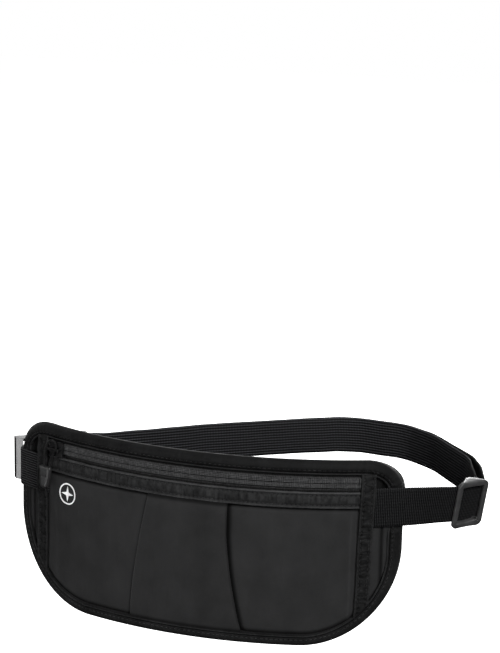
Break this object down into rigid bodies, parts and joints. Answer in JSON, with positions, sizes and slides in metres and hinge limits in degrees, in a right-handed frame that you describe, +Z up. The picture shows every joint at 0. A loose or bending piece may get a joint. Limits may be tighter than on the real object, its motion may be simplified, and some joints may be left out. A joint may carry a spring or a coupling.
{
  "type": "money belt",
  "caption": "Slim curved waist pouch with a full-width zip, boxed front pleat, padded rim and an adjustable webbing waist strap closed by a side-release buckle.",
  "frame": {"origin": "middle of the waist loop: on the pouch's middle plane, half way from the pouch's front to the back of the strap, at the webbing's middle height", "axes": "+Z up along the wearer's body, -Y towards the pouch's front, +X to the right seen from the front"},
  "size_m": [0.3125, 0.187, 0.119],
  "materials": {
    "shell_fabric": "matte plain-weave nylon, charcoal black",
    "rim_fabric": "smooth padded tape, slight satin",
    "trim_fabric": "matte ribbed binding tape",
    "lining_fabric": "fine plain lining",
    "padding": "thin spacer padding",
    "zip_tape": "herringbone zip tape",
    "zip_coil": "satin nylon coil",
    "zip_metal": "black enamel, satin",
    "pull_cord": "braided cord",
    "pull_plastic": "moulded, satin",
    "print_ink": "white screen print",
    "webbing": "ribbed woven webbing",
    "adjuster_plastic": "moulded, satin",
    "buckle_plastic": "moulded acetal, semi-gloss"
  },
  "bodies": {
    "pouch": {"back_panel": "shell_fabric", "back_padding": "padding", "pocket_lining": "lining_fabric", "front_panel_left": "shell_fabric", "front_panel_centre": "shell_fabric", "front_panel_right": "shell_fabric", "zip_facing_band": "trim_fabric", "zip_tape_lower": "zip_tape", "zip_tape_upper": "zip_tape", "zip_coil_lower": "zip_coil", "zip_coil_upper": "zip_coil", "zip_top_stops": "zip_metal", "zip_bottom_stop": "zip_metal", "padded_rim": "rim_fabric", "edge_binding": "trim_fabric", "side_band_left": "trim_fabric", "side_band_right": "trim_fabric", "printed_mark": "print_ink", "buckle_tab": "webbing", "strap_front_run": "webbing", "strap_outer_layer": "webbing", "strap_inner_layer": "webbing", "buckle_socket": "buckle_plastic"},
    "slider": {"zip_slider": "zip_metal"},
    "pull": {"zip_pull_cord": "pull_cord", "zip_pull_grip": "pull_plastic"},
    "plug": {"buckle_plug": "buckle_plastic", "strap_buckle_loop": "webbing"},
    "latch_up": {"latch_arm_upper": "buckle_plastic"},
    "latch_low": {"latch_arm_lower": "buckle_plastic"},
    "adjuster": {"adjuster": "adjuster_plastic", "strap_adjuster_end": "webbing"}
  },
  "joints": [
    {"name": "zip_travel", "type": "hinge", "parent": "pouch", "child": "slider", "pos_m": [0, 0.145, 0.018], "axis": [0, 0, 1], "range_deg": [0, 44.8]},
    {"name": "pull_swing", "type": "hinge", "parent": "slider", "child": "pull", "pos_m": [-0.09384, -0.08132, 0.018], "axis": [-0.383, -0.9237, 0], "range_deg": [-35, 48]},
    {"name": "buckle_release", "type": "slide", "parent": "pouch", "child": "plug", "axis": [0.8037, 0.5948, 0.014], "range_m": [0, 0.026], "deforming": ["strap_buckle_loop"]},
    {"name": "latch_upper", "type": "hinge", "parent": "plug", "child": "latch_up", "pos_m": [-0.10982, -0.02978, 0.00779], "axis": [0.5947, -0.8039, 0.0104], "range_deg": [0, 6], "stiffness_Nm_per_rad": 0.3},
    {"name": "latch_lower", "type": "hinge", "parent": "plug", "child": "latch_low", "pos_m": [-0.10948, -0.02978, -0.01141], "axis": [-0.5947, 0.8039, -0.0104], "range_deg": [0, 6], "stiffness_Nm_per_rad": 0.3},
    {"name": "adjuster_slide", "type": "hinge", "parent": "pouch", "child": "adjuster", "pos_m": [0.10535, 0.0268, 0.00194], "axis": [-0.0175, 0, 0.9998], "range_deg": [-7.5, 0], "deforming": ["strap_adjuster_end"]}
  ],
  "couplings": [
    {"joint": "latch_lower", "follows": "latch_upper", "ratio": 1}
  ]
}
